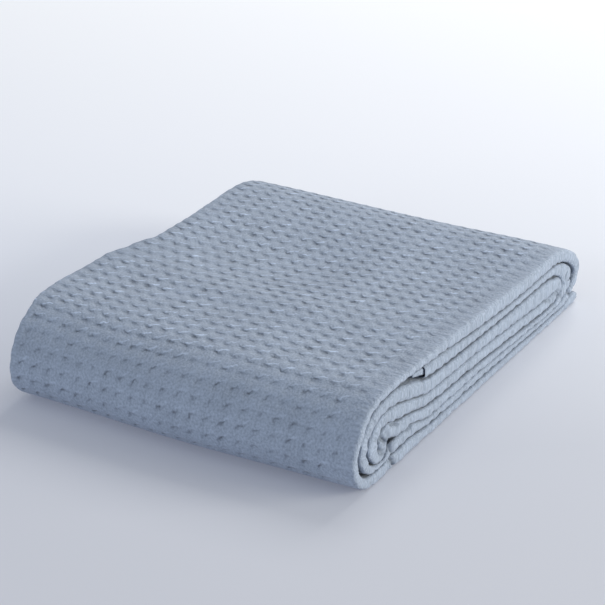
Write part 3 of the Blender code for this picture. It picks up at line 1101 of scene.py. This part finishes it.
def makeWaffleGroup():
    lighting = ("Pit Shade", "Thread Light", "Mottle", "Fuzz", "Lip Ribs", "Rib Light")
    numbers = [(label, "Float") for label in (*lighting, "Painted Deep Shade", "Wobble", "Side")]
    tree, given, out = newGroup(
        "waffleWeave",
        [("Cells", "Vector"), ("Flat", "Vector"), ("Color", "Color"), *numbers],
        [("Color", "Color"), ("Height", "Float")],
    )
    parts = addNode(tree, "ShaderNodeSeparateXYZ")
    feed(tree, parts, given["Cells"])
    a, b, share = parts.outputs
    strays = addNode(tree, "ShaderNodeSeparateColor")
    tree.links.new(noiseOver(tree, given["Flat"], *marks["strays"])["Color"], strays.inputs[0])
    px = placeInCell(tree, a, strays.outputs[0], given["Wobble"])
    py = placeInCell(tree, b, strays.outputs[1], given["Wobble"])
    corner = addNode(tree, "ShaderNodeCombineXYZ")
    feed(tree, corner, maths(tree, "FLOOR", a), maths(tree, "FLOOR", b))
    chance = addNode(tree, "ShaderNodeTexWhiteNoise", noise_dimensions="2D")
    tree.links.new(corner.outputs[0], chance.inputs["Vector"])
    uneven = maths(tree, "MULTIPLY_ADD", chance.outputs["Value"], *marks["chance"])
    uneven = product(tree, uneven, share)

    # the pits: a dark core and a wide halo painted as shade in the colour, and their two walls for the
    # height; round the near side the painted core is doubled and the halo weaker
    pitLean = math.radians(weave["pitLean"])
    sideTurn = math.radians(weave["sideLean"]) - pitLean
    lean = maths(tree, "MULTIPLY_ADD", given["Side"], sideTurn, pitLean)
    along, across = turned(tree, px, py, lean, weave["pitPlace"])
    curl = product(tree, given["Side"], weave["sideCurl"])
    across = maths(tree, "MULTIPLY_ADD", product(tree, along, along), curl, across)
    shade = markShade(tree, along, across, marks["core"])
    halo = markShade(tree, along, across, marks["halo"])
    haloShare = maths(tree, "MULTIPLY_ADD", given["Side"], marks["haloSide"], 1.0)
    shade = maths(tree, "MULTIPLY_ADD", given["Side"], shade, shade)
    shade = maths(tree, "MULTIPLY_ADD", halo, haloShare, shade)
    shade = product(tree, shade, uneven)
    gentleWall = softStep(tree, across, *marks["gentleWall"])
    steepWall = softStep(tree, across, *marks["steepWall"])
    pit = product(tree, gentleWall, steepWall, bell(tree, along, 0.0, marks["pitLong"]), uneven)

    # the long thread beyond each pit: raised in the bump, with a painted highlight along it in the colour
    long, square, wide = marks["thread"]
    lean = math.radians(weave["threadLean"])
    along, across = turned(tree, px, py, lean, weave["threadPlace"])
    proud = product(tree, bell(tree, along, 0.0, long, square), bell(tree, across, 0.0, wide), uneven)
    proud = product(tree, proud, maths(tree, "POWER", share, marks["threadPower"]))

    mottle = aroundZero(tree, noiseOver(tree, given["Flat"], *marks["mottle"])[0])
    fuzz = aroundZero(tree, noiseOver(tree, given["Flat"], *marks["fuzz"])[0])
    # the lips are drawn into fine wrinkles across their run: a bump, and painted light and shade along
    # them in the colour
    drawn = addNode(tree, "ShaderNodeMapping")
    tree.links.new(given["Flat"], drawn.inputs["Vector"])
    drawn.inputs["Scale"].default_value = marks["wrinkleScale"]
    rib = aroundZero(tree, noiseOver(tree, drawn.outputs[0], *marks["wrinkles"])[0])
    rib = product(tree, rib, maths(tree, "SUBTRACT", 1.0, share))

    # painted shade in the pits, painted highlight on the threads, the cloth's own mottle and fuzz, and
    # painted light and shade on the lip wrinkles
    light = maths(tree, "MULTIPLY_ADD", product(tree, shade, given["Pit Shade"]), -1.0, 1.0)
    for part, name in ((proud, "Thread Light"), (mottle, "Mottle"), (fuzz, "Fuzz"), (rib, "Rib Light")):
        light = maths(tree, "MULTIPLY_ADD", part, given[name], light)
    # painted shade where the cloth lies deep between passes and along creases
    light = product(tree, light, maths(tree, "SUBTRACT", 1.0, given["Painted Deep Shade"]))
    grey = addNode(tree, "ShaderNodeCombineColor")
    feed(tree, grey, light, light, light)
    tree.links.new(tinted(tree, given["Color"], grey.outputs[0]), out["Color"])

    height = product(tree, proud, marks["threadHeight"])
    height = maths(tree, "MULTIPLY_ADD", pit, marks["pitHeight"], height)
    height = maths(tree, "MULTIPLY_ADD", fuzz, marks["fuzzHeight"], height)
    height = maths(tree, "MULTIPLY_ADD", rib, given["Lip Ribs"], height)
    tree.links.new(height, out["Height"])
    return tree


looks = {
    "cotton": (0.29, 0.346, 0.446, 1.0),
    # painted shade in the pits
    "pitShade": 0.19,
    # painted highlight along the long threads
    "threadLight": 0.62,
    "mottle": 0.22,
    "fuzz": 0.75,
    "lipRibs": 1.6,
    # painted light and shade on the lips' wrinkles
    "ribLight": 0.26,
    "wobble": 4.0,          # millimetres that the marks of the weave stray
    "paintedDeepShade": 0.45,
    "roughness": 0.92,
    "sheen": 0.1,
    "sheenRoughness": 0.5,
    "bump": 0.001,          # metres
}


def makeCotton():
    cotton = bpy.data.materials.new("waffleCotton")
    cotton.use_nodes = True
    tree = cotton.node_tree
    shader = tree.nodes["Principled BSDF"]
    shader.inputs["Roughness"].default_value = looks["roughness"]
    shader.inputs["Sheen Weight"].default_value = looks["sheen"]
    shader.inputs["Sheen Roughness"].default_value = looks["sheenRoughness"]
    cells = addNode(tree, "ShaderNodeAttribute", attribute_name="weaveCells")
    flat = addNode(tree, "ShaderNodeUVMap", uv_map="flatCloth")
    paintedDeepShadeWhere = addNode(tree, "ShaderNodeAttribute", attribute_name="tucked")
    side = addNode(tree, "ShaderNodeAttribute", attribute_name="nearSide")
    # painted shade where the cloth lies deep and along creases
    deep = product(tree, paintedDeepShadeWhere.outputs["Fac"], looks["paintedDeepShade"])
    group = addNode(tree, "ShaderNodeGroup", node_tree=makeWaffleGroup())
    values = {
        "Cells": cells.outputs["Vector"],
        "Flat": flat.outputs["UV"],
        "Color": looks["cotton"],
        "Pit Shade": looks["pitShade"],
        "Thread Light": looks["threadLight"],
        "Mottle": looks["mottle"],
        "Fuzz": looks["fuzz"],
        "Lip Ribs": looks["lipRibs"],
        "Rib Light": looks["ribLight"],
        "Painted Deep Shade": deep,
        "Wobble": looks["wobble"],
        "Side": side.outputs["Fac"],
    }
    feed(tree, group, *(values[socket.name] for socket in group.inputs))
    bump = addNode(tree, "ShaderNodeBump")
    bump.inputs["Distance"].default_value = looks["bump"]
    tree.links.new(group.outputs["Height"], bump.inputs["Height"])
    tree.links.new(group.outputs["Color"], shader.inputs["Base Color"])
    tree.links.new(bump.outputs["Normal"], shader.inputs["Normal"])
    return cotton


mesh.materials.append(makeCotton())
print("scene: cotton made")

paper = {
    "half": 8.0,            # metres
    "drop": 0.0002,         # it lies this far under the cloth
    "roughness": 0.8,
    # painted light: the paper glows faintly, which lifts and tints the floor and its shadows
    "paintedGlow": (0.74, 0.79, 1.0, 1.0),
    "paintedGlowStrength": 0.12,
    # painted light: the paper pales with distance from the camera: metres back from the middle, colour
    "fades": (
        (-0.45, (0.49, 0.50, 0.54)),
        (-0.15, (0.505, 0.52, 0.565)),
        (0.20, (0.715, 0.735, 0.785)),
        (0.45, (0.775, 0.79, 0.83)),
        (0.90, (0.85, 0.86, 0.875)),
    ),
}


def makePaper():
    material = bpy.data.materials.new("paper")
    material.use_nodes = True
    tree = material.node_tree
    shader = tree.nodes["Principled BSDF"]
    shader.inputs["Roughness"].default_value = paper["roughness"]
    shader.inputs["Emission Color"].default_value = paper["paintedGlow"]
    shader.inputs["Emission Strength"].default_value = paper["paintedGlowStrength"]
    where = addNode(tree, "ShaderNodeTexCoord")
    turn = addNode(tree, "ShaderNodeVectorRotate", rotation_type="Z_AXIS")
    tree.links.new(where.outputs["Object"], turn.inputs["Vector"])
    turn.inputs["Angle"].default_value = math.radians(-camera["azimuth"])
    back = addNode(tree, "ShaderNodeSeparateXYZ")
    tree.links.new(turn.outputs[0], back.inputs[0])
    nearest, nearColour = paper["fades"][0]
    furthest, farColour = paper["fades"][-1]
    share = addNode(tree, "ShaderNodeMapRange")
    feed(tree, share, back.outputs[1], nearest, furthest)
    ramp = addNode(tree, "ShaderNodeValToRGB")
    tree.links.new(share.outputs[0], ramp.inputs["Fac"])
    stops = ramp.color_ramp.elements
    stops[0].color = (*nearColour, 1.0)
    stops[1].color = (*farColour, 1.0)
    for place, colour in paper["fades"][1:-1]:
        stops.new((place - nearest) / (furthest - nearest)).color = (*colour, 1.0)
    tree.links.new(ramp.outputs["Color"], shader.inputs["Base Color"])
    return material


def makeFloor():
    half = paper["half"]
    corners = [(-half, -half, 0), (half, -half, 0), (half, half, 0), (-half, half, 0)]
    floorMesh = bpy.data.meshes.new("floor")
    floorMesh.from_pydata(corners, [], [(0, 1, 2, 3)])
    floorMesh.materials.append(makePaper())
    floor = bpy.data.objects.new("floor", floorMesh)
    floor.location.z = -paper["drop"]
    bpy.context.scene.collection.objects.link(floor)


makeFloor()
print("scene: floor made")

lights = {
    "key": dict(place=(-0.1, 2.2, 2.0), size=1.4, watts=35.0, colour=(1.0, 0.98, 0.95)),
    "side": dict(place=(2.2, 0.7, 0.55), size=1.2, watts=51.0, colour=(1.0, 0.965, 0.85)),
    "fill": dict(place=(-0.5, -2.2, 0.6), size=1.6, watts=13.0, colour=(0.90, 0.95, 1.0)),
}
room = {
    "aim": (0.0, 0.0, 0.03),        # where the lights point
    "colour": (0.88, 0.93, 1.0, 1.0),
    "strength": 0.495,
}


def makeLights():
    for name, light in lights.items():
        data = bpy.data.lights.new(name, "AREA")
        data.size = light["size"]
        data.energy = light["watts"]
        data.color = light["colour"]
        ob = bpy.data.objects.new(name, data)
        ob.location = light["place"]
        ob.rotation_mode = "QUATERNION"
        ob.rotation_quaternion = (Vector(room["aim"]) - ob.location).to_track_quat("-Z", "Y")
        bpy.context.scene.collection.objects.link(ob)
    world = bpy.data.worlds.new("studio")
    world.use_nodes = True
    background = world.node_tree.nodes["Background"]
    background.inputs["Color"].default_value = room["colour"]
    background.inputs["Strength"].default_value = room["strength"]
    bpy.context.scene.world = world
    bpy.context.scene.view_settings.view_transform = "Standard"


makeLights()
print("scene: lights made")

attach(blanket, "root")
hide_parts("blanket")
